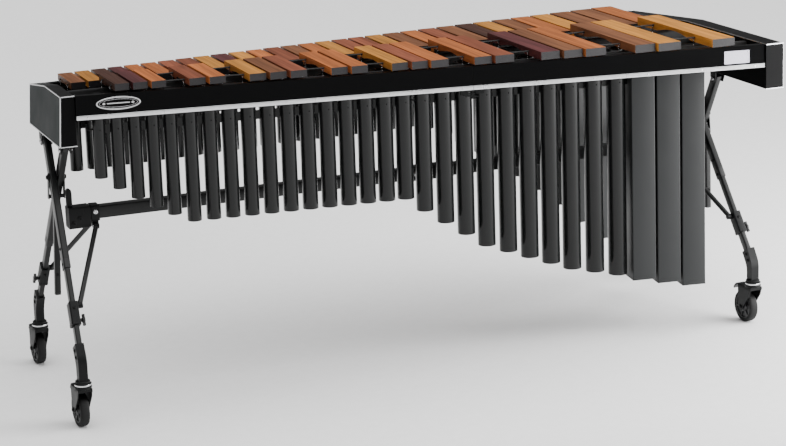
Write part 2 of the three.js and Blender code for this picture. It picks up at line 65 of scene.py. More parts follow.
def half_width(x):
    return mix(HALF_WIDTH_HIGH, HALF_WIDTH_LOW, along(x))


# ---- materials ----
def add_node(nodes, kind, **values):
    """A shader node with some of its inputs set; an underscore stands for a space."""
    node = nodes.new("ShaderNode" + kind)
    for name, value in values.items():
        node.inputs[name.replace("_", " ")].default_value = value
    return node


def new_material(name, color, rough, metal=0.0, specular=0.5):
    mat = bpy.data.materials.new(name)
    mat.use_nodes = True
    nodes, links = mat.node_tree.nodes, mat.node_tree.links
    shader = nodes["Principled BSDF"]
    shader.inputs["Base Color"].default_value = (*color, 1)
    shader.inputs["Roughness"].default_value = rough
    shader.inputs["Metallic"].default_value = metal
    shader.inputs["Specular IOR Level"].default_value = specular
    return mat, nodes, links, shader, nodes.new("ShaderNodeTexCoord").outputs["Object"]


def noise(nodes, links, place, scale, stretch, detail, rough=0.5, distortion=0.0):
    mapping = add_node(nodes, "Mapping", Scale=stretch)
    links.new(place, mapping.inputs["Vector"])
    tex = add_node(nodes, "TexNoise", Scale=scale, Detail=detail, Roughness=rough, Distortion=distortion)
    links.new(mapping.outputs["Vector"], tex.inputs["Vector"])
    return tex.outputs["Fac"]


# The middle part of a noise's range, which nearly all of its values fall in.
NOISE_LOW, NOISE_HIGH = 0.3, 0.7


def spread(nodes, links, source, low, high):
    span = add_node(nodes, "MapRange", From_Min=NOISE_LOW, From_Max=NOISE_HIGH, To_Min=low, To_Max=high)
    links.new(source, span.inputs["Value"])
    return span.outputs["Result"]


def ramp_color(nodes, links, source, dark, light):
    ramp = nodes.new("ShaderNodeValToRGB")
    stops = ramp.color_ramp.elements
    for stop, position, color in zip(stops, (NOISE_LOW, NOISE_HIGH), (dark, light)):
        stop.position = position
        stop.color = (*color, 1)
    links.new(source, ramp.inputs["Fac"])
    return ramp.outputs["Color"]


def add_bump(nodes, links, shader, source, strength, distance):
    bump = add_node(nodes, "Bump", Strength=strength, Distance=distance)
    links.new(source, bump.inputs["Height"])
    links.new(bump.outputs["Normal"], shader.inputs["Normal"])


def textured(name, dark, light, rough, metal=0.0, grain=200.0, stretch=(1, 1, 1), bump=0.1,
             depth=0.0001, rough_swing=0.05, specular=0.5):
    """A finish with fine grain for bump and colour, and broad blotches in its roughness."""
    mat, nodes, links, shader, place = new_material(name, light, rough, metal, specular)
    fine = noise(nodes, links, place, grain, stretch, 4.0)
    broad = noise(nodes, links, place, 12.0, (1, 1, 1), 2.0)
    links.new(ramp_color(nodes, links, fine, dark, light), shader.inputs["Base Color"])
    links.new(spread(nodes, links, broad, rough - rough_swing, rough + rough_swing),
              shader.inputs["Roughness"])
    add_bump(nodes, links, shader, fine, bump, depth)
    return mat


def wood_material():
    """Rosewood: streaks along Y; each bar carries its own base colour and grain offset."""
    mat, nodes, links, shader, place = new_material("rosewood", (0.4, 0.15, 0.05), 0.42, 0, 0.16)
    tone = nodes.new("ShaderNodeAttribute")
    tone.attribute_name = "bar_tone"
    offset = nodes.new("ShaderNodeAttribute")
    offset.attribute_name = "bar_offset"
    own_place = nodes.new("ShaderNodeVectorMath")
    own_place.operation = "ADD"
    links.new(place, own_place.inputs[0])
    links.new(offset.outputs["Vector"], own_place.inputs[1])

    def grain(stretch, detail, rough):
        return noise(nodes, links, own_place.outputs["Vector"], 1.0, stretch, detail, rough, 0.6)

    def times(x, y):
        node = nodes.new("ShaderNodeMath")
        node.operation = "MULTIPLY"
        links.new(x, node.inputs[0])
        links.new(y, node.inputs[1])
        return node.outputs[0]

    streaks = grain((95, 3.2, 60), 5.0, 0.62)
    bands = grain((26, 1.1, 20), 2.0, 0.5)
    pores = grain((620, 26, 500), 2.0, 0.5)
    shades = [spread(nodes, links, source, low, high)
              for source, low, high in ((streaks, 0.62, 1.2), (bands, 0.72, 1.22), (pores, 0.86, 1.05))]
    scale = nodes.new("ShaderNodeVectorMath")
    scale.operation = "SCALE"
    links.new(tone.outputs["Color"], scale.inputs[0])
    links.new(times(times(shades[0], shades[1]), shades[2]), scale.inputs["Scale"])
    links.new(scale.outputs["Vector"], shader.inputs["Base Color"])
    links.new(spread(nodes, links, streaks, 0.5, 0.38), shader.inputs["Roughness"])
    add_bump(nodes, links, shader, pores, 0.12, 0.0002)
    return mat


def grey(level):
    return level, level, level


MAT = {
    "gloss": textured("gloss_lacquer", (0.00132, 0.00132, 0.00144), (0.0024, 0.0024, 0.00264), 0.32,
                      grain=420, bump=0.03, rough_swing=0.03, specular=0.05),
    "panel": textured("panel_grey", (0.024, 0.028, 0.028), (0.036, 0.040, 0.040), 0.6, grain=700,
                      bump=0.12, specular=0.08),
    "matt": textured("matt_black", grey(0.0021), grey(0.0042), 0.6, depth=0.0002, grain=300),
    "felt": textured("felt", (0.007, 0.007, 0.0077), (0.021, 0.021, 0.0224), 0.95, grain=900, bump=0.6,
                     depth=0.0005),
    "trim": textured("bright_trim", (0.5, 0.5, 0.51), (0.74, 0.74, 0.75), 0.3, 1.0, grain=60,
                     stretch=(0.3, 12, 12), bump=0.05),
    "chrome": textured("chrome", (0.5, 0.5, 0.51), (0.66, 0.66, 0.67), 0.16, 1.0, grain=200, bump=0.02),
    "steel": textured("black_steel", (0.003, 0.00312, 0.0033), (0.0066, 0.0069, 0.0072), 0.42, 0.0,
                      grain=700, bump=0.18, specular=0.14),
    "leg": textured("leg_lacquer", (0.00324, 0.00342, 0.0036), (0.00612, 0.00648, 0.00648), 0.34, 0.0,
                    grain=500, bump=0.12, specular=0.25),
    "tube": textured("tube_lacquer", (0.0028, 0.00315, 0.00315), (0.0063, 0.00665, 0.00665), 0.24, 0.0,
                     grain=900, stretch=(0.02, 0.02, 1), bump=0.5, rough_swing=0.03, specular=0.26),
    "box": textured("box_satin", (0.0099, 0.0109, 0.0113), (0.0120, 0.0130, 0.0134), 0.42, 0.0, grain=700,
                    bump=0.1, specular=0.3),
    "bore": textured("tube_inside", grey(0.012), grey(0.024), 0.5, 0.6, depth=0.0002, grain=300),
    "rubber": textured("rubber", grey(0.0024), grey(0.006), 0.72, grain=900, bump=0.3, depth=0.0002,
                       specular=0.3),
    "wheel": textured("wheel_core", (0.0072, 0.0072, 0.0078), (0.0144, 0.0144, 0.0156), 0.42,
                      depth=0.0002, grain=600),
    "plastic": textured("black_plastic", (0.0036, 0.0036, 0.0039), (0.0072, 0.0072, 0.0078), 0.45,
                        grain=800, bump=0.2, specular=0.35),
    "label": textured("label_paper", (0.62, 0.60, 0.70), (0.72, 0.70, 0.80), 0.5, grain=400, bump=0.05),
    "cord": textured("cord", grey(0.01), grey(0.045), 0.8, grain=160, stretch=(9, 1, 1), bump=0.7,
                     depth=0.0004),
    "strip": textured("strip_metal", (0.62, 0.62, 0.63), (0.82, 0.82, 0.83), 0.3, 0.9, grain=50,
                      stretch=(0.3, 14, 14), bump=0.04),
    "floor": textured("floor_paper", grey(0.92), grey(0.95), 0.75, grain=30, bump=0.02, depth=0.0002,
                      specular=0.2),
    "end": textured("bar_end", (0.00672, 0.00616, 0.00728), (0.01456, 0.01232, 0.01344), 0.5, grain=330,
                    stretch=(1, 0.2, 1), bump=0.15, depth=0.0002, specular=0.3),
    "wood": wood_material(),
}


# ---- shapes: each returns (points, faces) ----
def box(x0, x1, y0, y1, z0, z1):
    faces = [(3, 2, 1, 0), (4, 5, 6, 7), (0, 1, 5, 4), (1, 2, 6, 5), (2, 3, 7, 6), (3, 0, 4, 7)]
    return [Vector((x, y, z)) for z in (z0, z1) for x, y in ((x0, y0), (x1, y0), (x1, y1), (x0, y1))], faces


AXES = {
    "x": lambda a, b, h: Vector((h, a, b)),
    "y": lambda a, b, h: Vector((a, h, b)),
    "z": lambda a, b, h: Vector((a, b, h)),
}


def between(n):
    """Faces of a body between two equal outlines of n points each."""
    faces = [tuple(range(n)), tuple(range(2 * n - 1, n - 1, -1))]
    return faces + [(i, (i + 1) % n, n + (i + 1) % n, n + i) for i in range(n)]


def prism(outline, low, high, axis="z"):
    """An outline in the plane across the axis, stretched from low to high along it."""
    put = AXES[axis]
    return [put(a, b, h) for h in (low, high) for a, b in outline], between(len(outline))


def hollow(outer, inner, low, high, axis="z"):
    """Two outlines of equal length with the wall between them, stretched along the axis."""
    put = AXES[axis]
    n = len(outer)
    points = [put(a, b, h) for h in (low, high) for ring in (outer, inner) for a, b in ring]
    faces = []
    for i in range(n):
        j = (i + 1) % n
        faces += [(i, j, 2 * n + j, 2 * n + i), (n + i, 3 * n + i, 3 * n + j, n + j),
                  (i, n + i, n + j, j), (2 * n + i, 2 * n + j, 3 * n + j, 3 * n + i)]
    return points, faces


def lathe(profile, sides, axis="z", centre=(0, 0, 0)):
    """A profile of (radius, height) points turned about an axis; points on the axis close it."""
    put = AXES[axis]
    points, rings = [], []
    for r, h in profile:
        if r < 1e-6:
            rings.append([len(points)])
            points.append(put(0, 0, h))
        else:
            rings.append(list(range(len(points), len(points) + sides)))
            for k in range(sides):
                a = 2 * math.pi * (k + 0.5) / sides
                points.append(put(r * math.cos(a), r * math.sin(a), h))
    faces = []
    closed = len(rings[0]) > 1
    pairs = list(zip(rings, rings[1:])) + ([(rings[-1], rings[0])] if closed else [])
    for lower, upper in pairs:
        for k in range(sides):
            m = (k + 1) % sides
            if len(lower) == 1:
                faces.append((lower[0], upper[m], upper[k]))
            elif len(upper) == 1:
                faces.append((lower[k], lower[m], upper[0]))
            else:
                faces.append((lower[k], lower[m], upper[m], upper[k]))
    return [p + Vector(centre) for p in points], faces


def rounded(wide, deep, radius, steps=4):
    """A rectangle with rounded corners."""
    points = []
    for cx, cy, start in ((1, 1, 0), (-1, 1, 90), (-1, -1, 180), (1, -1, 270)):
        for k in range(steps + 1):
            a = math.radians(start + 90 * k / steps)
            points.append((cx * (wide / 2 - radius) + radius * math.cos(a),
                           cy * (deep / 2 - radius) + radius * math.sin(a)))
    return points


def sweep(path, radius, sides=10):
    """A round bar along a path of points."""
    path = [Vector(p) for p in path]
    points, faces = [], []
    first = (path[1] - path[0]).normalized()
    side = first.orthogonal().normalized()
    for i, p in enumerate(path):
        ahead = path[min(i + 1, len(path) - 1)] - path[max(i - 1, 0)]
        ahead.normalize()
        side = (side - ahead * side.dot(ahead)).normalized()
        other = ahead.cross(side)
        for k in range(sides):
            a = 2 * math.pi * k / sides
            points.append(p + side * radius * math.cos(a) + other * radius * math.sin(a))
    for i in range(len(path) - 1):
        for k in range(sides):
            m = (k + 1) % sides
            faces.append((i * sides + k, i * sides + m, (i + 1) * sides + m, (i + 1) * sides + k))
    faces.append(tuple(range(sides - 1, -1, -1)))
    last = (len(path) - 1) * sides
    faces.append(tuple(last + k for k in range(sides)))
    return points, faces


def shifted(shape, x, y, z):
    return [p + Vector((x, y, z)) for p in shape[0]], shape[1]


def turned(at, angle, axis="Z"):
    """Axes at a point, turned about one of them."""
    return Matrix.Translation(at) @ Matrix.Rotation(angle, 4, axis)


def facing(direction, at):
    """Turns a shape made along Z so that Z points in a direction, at a point."""
    turn = Vector((0, 0, 1)).rotation_difference(Vector(direction)).to_matrix().to_4x4()
    return Matrix.Translation(at) @ turn


def bolt(radius, tall):
    """A socket cap screw with a washer, standing on z = 0."""
    return lathe([(0, 0), (radius * 1.45, 0), (radius * 1.45, 1.0), (radius, 1.2),
                  (radius, tall), (radius * 0.86, tall + 0.7), (radius * 0.55, tall + 0.7),
                  (radius * 0.5, tall - 1.2), (0, tall - 1.2)], 20)


class Piece:
    """Shapes gathered into one object."""

    def __init__(self, name):
        self.name = name
        self.points, self.faces, self.tones = [], [], []
        self.looks, self.face_look = [], []

    def add(self, shape, look, matrix=None, tone=None):
        points, faces = shape
        base = len(self.points)
        self.points += [matrix @ p for p in points] if matrix else list(points)
        self.faces += [tuple(base + i for i in f) for f in faces]
        looks = look if isinstance(look, list) else [look] * len(faces)
        for one in looks:
            if one not in self.looks:
                self.looks.append(one)
            self.face_look.append(self.looks.index(one))
        self.tones += [tone] * len(points)

    def screw(self, radius, tall, way, at, look="steel"):
        """A socket cap screw with its washer at a point, its head the given way."""
        self.add(bolt(radius, tall), look, facing(way, at))

    def done(self, node, bevel, body="frame", segments=2, angle=32):
        mesh = bpy.data.meshes.new(self.name)
        mesh.from_pydata([((p.x + CENTRE_SHIFT) * MM, p.y * MM, p.z * MM) for p in self.points],
                         [], self.faces)
        for one in self.looks:
            mesh.materials.append(MAT[one])
        for face, index in zip(mesh.polygons, self.face_look):
            face.material_index = index
        if any(self.tones):
            tone = mesh.attributes.new("bar_tone", "FLOAT_COLOR", "POINT")
            offset = mesh.attributes.new("bar_offset", "FLOAT_VECTOR", "POINT")
            for i, value in enumerate(self.tones):
                color, off = value if value else ((0.02, 0.02, 0.02), (0, 0, 0))
                tone.data[i].color = (*color, 1)
                offset.data[i].vector = off
        shell = bmesh.new()
        shell.from_mesh(mesh)
        bmesh.ops.recalc_face_normals(shell, faces=shell.faces)
        shell.to_mesh(mesh)
        shell.free()
        mesh.shade_smooth()
        mesh.set_sharp_from_angle(angle=math.radians(angle))
        obj = bpy.data.objects.new(self.name, mesh)
        scene.collection.objects.link(obj)
        mod = obj.modifiers.new("edges", "BEVEL")
        mod.width = bevel * MM
        mod.segments = segments
        mod.limit_method = "ANGLE"
        mod.angle_limit = math.radians(angle)
        mod.harden_normals = True
        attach(obj, body)
        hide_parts(node)


# ---- end-boards ----
BOARD_TOP = 915
BOARDS = {
    "high": dict(outer=-1045, inner=-1004, half=190, bottom=772, far_top=889, out=-1, splay=0.065),
    "low": dict(outer=1048, inner=988, half=485, bottom=780, far_top=877, out=1, splay=0),
}


def inset(outline, distance):
    """The outline drawn in by a distance, corner by corner."""
    result = []
    n = len(outline)
    for i in range(n):
        a, b, c = Vector(outline[i - 1]), Vector(outline[i]), Vector(outline[(i + 1) % n])
        d1, d2 = (b - a).normalized(), (c - b).normalized()
        n1, n2 = Vector((-d1.y, d1.x)), Vector((-d2.y, d2.x))
        result.append(tuple(b + (n1 + n2) * (distance / (1 + n1.dot(n2)))))
    return result


def arm_tops(end):
    """Where the two crossed legs end under a board: one point a side."""
    frame_of = FRAMES[end]
    return [frame_of.point(side, -frame_of.up) for side in ("near", "far")]


def build_board(end):
    b = BOARDS[end]
    lo, hi = sorted((b["outer"], b["inner"]))
    outline = [(-b["half"], b["bottom"]), (b["half"], b["bottom"]), (b["half"], b["far_top"]),
               (0, BOARD_TOP), (-b["half"], BOARD_TOP)]
    out = b["out"]
    piece = Piece(f"{end}_end_board_body")

    def splayed(shape):
        """The outer face leans outwards towards its lower edge."""
        points, faces = shape
        reach = abs(b["outer"] - b["inner"])
        leaning = []
        for p in points:
            share = min(max(abs(p.x - b["inner"]) / reach, 0), 1)
            leaning.append(p + Vector((out * b["splay"] * (BOARD_TOP - p.z) * share, 0, 0)))
        return leaning, faces

    piece.add(splayed(prism(inset(outline, 1.2), lo + 1, hi - 1, "x")), "gloss")
    # Grey panel on the outer face inside a bright edge trim, and a line along the low board's inner top.
    x0, x1 = sorted((b["outer"] - out * 0.2, b["outer"] - out * 1.6))
    piece.add(splayed(prism(inset(outline, 4.6), x0, x1, "x")), "panel")
    x0, x1 = sorted((b["outer"], b["outer"] - out * 2.6))
    rim = outline if end == "high" else inset(outline, 2.0)
    piece.add(splayed(hollow(rim, inset(rim, 3.0), x0, x1, "x")), "trim")
    if end == "low":
        top = [(-b["half"], BOARD_TOP), (0, BOARD_TOP), (b["half"], b["far_top"])]
        line = [(y, z - 2.6) for y, z in top] + top[::-1]
        piece.add(prism(line, b["inner"], b["inner"] + 3, "x"), "trim")
    # Trim across the near end of the top and of the underside.
    for y0, y1, z0, z1 in ((-b["half"], -b["half"] + 3.4, BOARD_TOP - 3, BOARD_TOP),
                           (b["half"] - 3.4, b["half"], b["far_top"] - 3, b["far_top"]),
                           (-b["half"], -b["half"] + 3.0, b["bottom"], b["bottom"] + 2.4)):
        piece.add(splayed(box(lo, hi, y0, y1, z0, z1)), "trim")
    # Fork brackets with their pins.
    for x, y, z in arm_tops(end):
        for s in (-1, 1):
            cheek = [(y - 17, b["bottom"] + 1), (y + 17, b["bottom"] + 1), (y + 17, z - 8),
                     (y + 9, z - 25), (y - 9, z - 25), (y - 17, z - 8)]
            a = x + s * 13
            piece.add(prism(cheek, min(a, a + 3 * s), max(a, a + 3 * s), "x"), "steel")
        piece.add(box(x - 16, x + 16, y - 17, y + 17, b["bottom"] - 3, b["bottom"] + 1), "steel")
        for s in (-1, 1):
            piece.screw(5, 3.2, (s, 0, 0), (x + s * 15.8, y, z - 14), "chrome")
        for dx, dy in ((-10, -12), (10, 12), (-10, 12), (10, -12)):
            piece.add(shifted(lathe([(0, -4.4), (2.6, -4.4), (2.9, -3.2), (2.9, -2.6), (0, -2.6)], 14),
                              x + dx, y + dy, b["bottom"]), "chrome")
    piece.done(f"end_board_{end}", 0.9, segments=3)


# ---- end frames ----
LEG_SPREAD = math.radians(34.2)
OUTER = dict(wide=20, deep=32, wall=1.8)
INNER = dict(wide=15, deep=26, wall=2, length=461)
LEG_ASIDE = 10.4  # each leg's distance from the middle of its crossed pair, along the keyboard
COLLAR_ABOVE = 174
COLLAR_LENGTH = 68
CASTER_TOP = 138
CASTER_TRAIL = 38
CASTER_TURN = math.radians(3)
BEAM_TOP = 554
BEAM = 36
CLAMP_X = 926
BLOCK_MIDDLE = 528
BLOCK_REACH = {"high": (25, 87), "low": (-75, -23)}


class EndFrame:
    """Two crossed legs that lean outwards; distances run down a leg from the crossing."""

    def __init__(self, end, out, hub_x, hub_z, lean, up, down, leg_end):
        self.end, self.out, self.hub_x, self.hub_z = end, out, hub_x, hub_z
        self.up, self.down, self.leg_end = up, down, leg_end
        self.matrix = turned((hub_x, 0, hub_z), -out * math.radians(lean), "Y")

    def leg(self, side):
        """A leg's own axes: Z runs down the leg, X along the keyboard."""
        sign = -1 if side == "near" else 1
        return self.matrix @ turned((sign * LEG_ASIDE, 0, 0), -sign * (math.pi - LEG_SPREAD), "X")

    def point(self, side, distance):
        return self.leg(side) @ Vector((0, 0, distance))


FRAMES = {
    "high": EndFrame("high", -1, -1028.5, 650, 2.6, 128, 278, 553),
    "low": EndFrame("low", 1, 1041, 613, 3.8, 176, 218, 512),
}
POSTS = {
    "high": dict(aside=-1.5, lean=2.6, low=306, top=604),
    "low": dict(aside=17, lean=0.6, low=308, top=566),
}


def tube_wall(wide, deep, radius, wall, low, high):
    bore = rounded(wide - 2 * wall, deep - 2 * wall, max(radius - wall, 0.6))
    return hollow(rounded(wide, deep, radius), bore, low, high)


def build_leg(end, side):
    f = FRAMES[end]
    sign = -1 if side == "near" else 1
    matrix = f.leg(side)
    key = f"{end}_{side}"
    o, n = OUTER, INNER

    sleeve = Piece(f"{key}_sleeve")
    for less, radius, wall, low, high, look in ((0.4, 4, 1.8, -f.up, f.down - 26, "leg"),
                                                (0, 4.5, 2.0, f.down - 26, f.down, "plastic"),
                                                (0, 4.2, 2.0, -f.up - 0.2, -f.up + 12, "plastic")):
        sleeve.add(tube_wall(o["wide"] - less, o["deep"] - less, radius, wall, low, high), look, matrix)
    face_x = sign * o["wide"] / 2
    toward = Vector((face_x, 0, 0))
    for z in (f.down - 13, f.down - 60):
        place = matrix @ facing(toward, (face_x * 0.98, 0, z))
        sleeve.add(bolt(3.4, 1.6), "steel", place)
    sleeve.done(f"{key}_leg_sleeve", 0.5)

    inner = Piece(f"{key}_telescopic_leg")
    end_top = f.leg_end - n["length"]
    inner.add(tube_wall(n["wide"], n["deep"], 3.2, n["wall"], end_top, f.leg_end - 8), "leg", matrix)
    # Height marks engraved along the face of the inner tube.
    for k in range(6):
        place = matrix @ facing(toward, (sign * n["wide"] / 2 * 0.99, 0, f.leg_end - 240 + 12 * k))
        inner.add(lathe([(0, 0), (1.3, 0), (1.3, 0.2), (0, 0.2)], 12), "steel", place)
    foot = f.point(side, f.leg_end)

    def on_side(distance, across):
        return (foot.y + sign * (distance * math.sin(LEG_SPREAD) + across * math.cos(LEG_SPREAD)),
                foot.z - distance * math.cos(LEG_SPREAD) + across * math.sin(LEG_SPREAD))

    # Bent bracket: straight along the leg, a rounded bend, then upright over the caster.
    def edge(across, stem):
        start = on_side(-50, across)
        y = foot.y + stem
        turn = (sign * stem - across * math.cos(LEG_SPREAD)) / math.sin(LEG_SPREAD)
        corner = Vector(on_side(turn, across))
        a = Vector(on_side(turn - 16, across))
        b = Vector((y, corner.y - 16))
        bend = [tuple(a.lerp(corner, t).lerp(corner.lerp(b, t), t)) for t in (0, 0.25, 0.5, 0.75, 1)]
        return [start, *bend, (y, CASTER_TOP + 0.2)]

    outline = edge(18, sign * 15) + edge(-18, -sign * 15)[::-1]
    inner.add(prism(outline, foot.x - 12.6, foot.x + 12.6, "x"), "steel")
    for distance in (-36, -16):
        y, z = on_side(distance, 0)
        for s in (-1, 1):
            inner.screw(4.2, 2.2, (s, 0, 0), (foot.x + s * 12.6, y, z))
    inner.add(lathe([(0, CASTER_TOP), (21, CASTER_TOP), (21, CASTER_TOP + 4), (17, CASTER_TOP + 7),
                     (0, CASTER_TOP + 7)], 28, "z", (foot.x, foot.y, 0)), "steel")
    inner.done(f"{key}_inner_leg", 1.6, body=f"{key}_leg", segments=3, angle=38)

    build_brace(end, side, matrix, sign)
    build_caster(key, foot)


def build_brace(end, side, matrix, sign):
    f = FRAMES[end]
    key = f"{end}_{side}"
    c0 = f.leg_end - COLLAR_ABOVE
    c1 = c0 + COLLAR_LENGTH
    n = INNER
    collar = Piece(f"{key}_stay")
    wide, deep = n["wide"] + 11, n["deep"] + 10
    hole = (n["wide"] + 1.6, n["deep"] + 1.6)
    collar.add(hollow(rounded(wide, deep, 4), rounded(*hole, 2.5), c0, c1), "steel", matrix)
    ear = matrix @ Vector((-f.out * (n["wide"] / 2 + 11), 0, c0 + 12))
    start = Vector((f.out * CLAMP_X, sign * 22, BEAM_TOP - BEAM - 15))
    line = (ear - start).normalized()
    collar.add(sweep([start, start + line * 4, ear - line * 30, ear - line * 12, ear], 7.3, 18), "leg")
    for at in (start + line * 5, ear - line * 4):
        collar.add(lathe([(0, -8.6), (7.8, -8.6), (8.6, -7.4), (8.6, 7.4), (7.8, 8.6), (0, 8.6)], 20,
                         "x", at), "steel")
        collar.screw(3.6, 2.4, (f.out, 0, 0), at + Vector((f.out * 8.6, 0, 0)), "chrome")
    for s in (-1, 1):
        place = matrix @ facing((0, s, 0), (0, s * deep / 2, c0 + 20))
        collar.add(bolt(3.4, 2.6), "steel", place)
    collar.add(hollow(rounded(wide + 1.4, deep + 1.4, 4.5), rounded(wide - 0.6, deep - 0.6, 4),
                      c1 - 9, c1 - 1), "steel", matrix)
    collar.done(f"{key}_brace", 0.7)

    # Clamp knob with two wings, on the face of the collar.
    knob_side = -sign
    seat = Vector((knob_side * (n["wide"] / 2 + 5.8), 0, c0 + 52))
    place = matrix @ facing((knob_side, 0, 0), seat)
    knob = Piece(f"{key}_wing_knob")
    knob.add(lathe([(0, 0.2), (5.2, 0.2), (5.2, 6), (8.5, 7.5), (9, 12), (7.5, 15.5), (0, 16)], 24),
             "plastic", place)
    for s in (-1, 1):
        wing = [(2, -3.6), (9, -4.4), (16, -5.6), (17, 0), (16, 5.6), (9, 4.4), (2, 3.6)]
        wing = [(s * a, b) for a, b in wing]
        knob.add(prism(wing, 8, 15.5), "plastic", place)
    knob.done(f"{key}_clamp_knob", 1.3, body=f"{key}_knob", segments=3)


def build_caster(key, foot):
    place = turned((foot.x, foot.y, 0), CASTER_TURN)
    trail, radius, half = CASTER_TRAIL, 50, 14.5
    axle_z = radius * math.cos(math.pi / 24)
    centre = place @ Matrix.Translation((0, trail, axle_z))

    wheel = Piece(f"{key}_caster_wheel")
    r = axle_z
    tread = [(r - 9, -half + 1), (r - 3, -half + 1.6), (r - 0.8, -half + 4.5), (r, -half + 8), (r, half - 8),
             (r - 0.8, half - 4.5), (r - 3, half - 1.6), (r - 9, half - 1), (r - 11, half - 3),
             (r - 11, -half + 3)]
    wheel.add(lathe(tread, 64, "x"), "rubber", centre)
    rim = [(r - 11.2, -half + 2), (r - 11.2, half - 2), (r - 14, half - 2.4), (r - 15.5, half - 7),
           (18, half - 7.5), (16, half - 3), (13, half - 1), (5, half - 1), (5, -half + 1), (13, -half + 1),
           (16, -half + 3), (18, -half + 7.5), (r - 15.5, -half + 7), (r - 14, -half + 2.4)]
    wheel.add(lathe(rim, 48, "x"), "wheel", centre)
    for k in range(6):
        a = math.radians(60 * k + 20)
        turn = centre @ Matrix.Rotation(a, 4, "X")
        wheel.add(box(-half + 4, half - 4, -2.2, 2.2, 16, r - 13), "wheel", turn)
    wheel.done(f"{key}_wheel", 0.5, body=f"{key}_roller")

    fork = Piece(f"{key}_caster_fork")
    top = CASTER_TOP - 0.3
    fork.add(lathe([(0, top - 18), (23.4, top - 18), (24.8, top - 15), (24.8, top - 11), (23.4, top - 9),
                    (0, top - 9)], 40), "steel", place)
    fork.add(lathe([(0, top - 9), (23, top - 9), (23.6, top - 7), (23, top - 4), (0, top - 4)], 40),
             "chrome", place)
    fork.add(lathe([(0, top - 4), (24.2, top - 4), (24.6, top - 3), (22, top - 1), (20, top), (0, top)],
                   40), "steel", place)
    for s in (-1, 1):
        cheek = [(-20, top - 17), (-12, top - 42), (trail - 16, 52)]
        cheek += [(trail + 13 * math.sin(a), axle_z - 13 * math.cos(a))
                  for a in [math.radians(d) for d in range(-60, 81, 20)]]
        cheek += [(trail + 14, top - 40), (trail + 14, top - 17)]
        x0, x1 = sorted((s * 18, s * 21))
        fork.add(prism(cheek, x0, x1, "x"), "steel", place)
        fork.add(bolt(5.6, 3.2), "steel", centre @ facing((s, 0, 0), (s * 21, 0, 0)))
    fork.add(box(-21, 21, -20, trail + 13.6, top - 26, top - 17), "steel", place)
    fork.add(lathe([(0, -20.5), (4.3, -20.5), (4.3, 20.5), (0, 20.5)], 20, "x"), "steel", centre)
    fork.done(f"{key}_fork", 0.9, body=f"{key}_caster", segments=3)

    pedal = Piece(f"{key}_brake_lever")
    profile = [(trail + y, z) for y, z in (
        (15, 112), (15, 119), (24, 118.5), (40, 114), (49, 106),
        (54, 98), (51, 95), (45, 102), (38, 108), (26, 112))]
    pedal.add(prism(profile, -12, 12, "x"), "plastic", place)
    for k in range(4):
        y = trail + 27 + 5 * k
        z = 117.6 - 1.35 * k - 0.12 * k * k
        pedal.add(sweep([(-10, y, z), (0, y, z + 0.1), (10, y, z)], 0.9, 8), "rubber", place)
    pedal.add(sweep([(-13.5, trail + 17.5, 115.5), (0, trail + 17.5, 115.5), (13.5, trail + 17.5, 115.5)],
                    2.6, 14), "steel", place)
    pedal.done(f"{key}_brake_pedal", 0.9, body=f"{key}_brake", segments=3)


def build_post(end):
    """A square post between the lower legs, hung from the crossing bolt by two straps."""
    f, p = FRAMES[end], POSTS[end]
    matrix = turned((f.hub_x + p["aside"], 0, f.hub_z), -f.out * math.radians(p["lean"]), "Y")
    post = Piece(f"{end}_drop_post")
    low, high = p["low"] - f.hub_z, p["top"] - f.hub_z
    post.add(tube_wall(17, 17, 2.6, 2, low + 7, high - 4), "leg", matrix)
    for z0, z1, z2 in ((low, low + 7, low + 16), (high, high - 4, high - 12)):
        post.add(prism(rounded(17, 17, 2.8), min(z0, z1), max(z0, z1)), "plastic", matrix)
        post.add(prism(rounded(12.6, 12.6, 1.2), min(z1, z2), max(z1, z2)), "plastic", matrix)
    post.add(bolt(3.4, 2.0), "steel", matrix @ facing((0, -1, 0), (0, -8.5, low + 60)))
    half = 20.9
    for s in (-1, 1):
        face = [(-8, high - 16), (8, high - 16)]
        face += [(8 * math.cos(a), 4 + 8 * math.sin(a)) for a in [math.pi * k / 10 for k in range(11)]]
        x0, x1 = sorted((s * half, s * (half + 3)))
        post.add(prism(face, x0, x1, "x"), "leg", f.matrix)
        post.add(bolt(6.2, 4.2), "steel", f.matrix @ facing((s, 0, 0), (s * (half + 3), 0, 0)))
    post.add(box(-half - 1, half + 1, -6, 6, high - 14, high - 5), "steel", f.matrix)
    post.done(f"{end}_post", 0.6)


# ---- centre beam ----
def lifted(wide, deep, radius, z):
    """A rounded rectangle in the plane across the keyboard, with its middle at a height."""
    return [(a, b + z) for a, b in rounded(wide, deep, radius)]


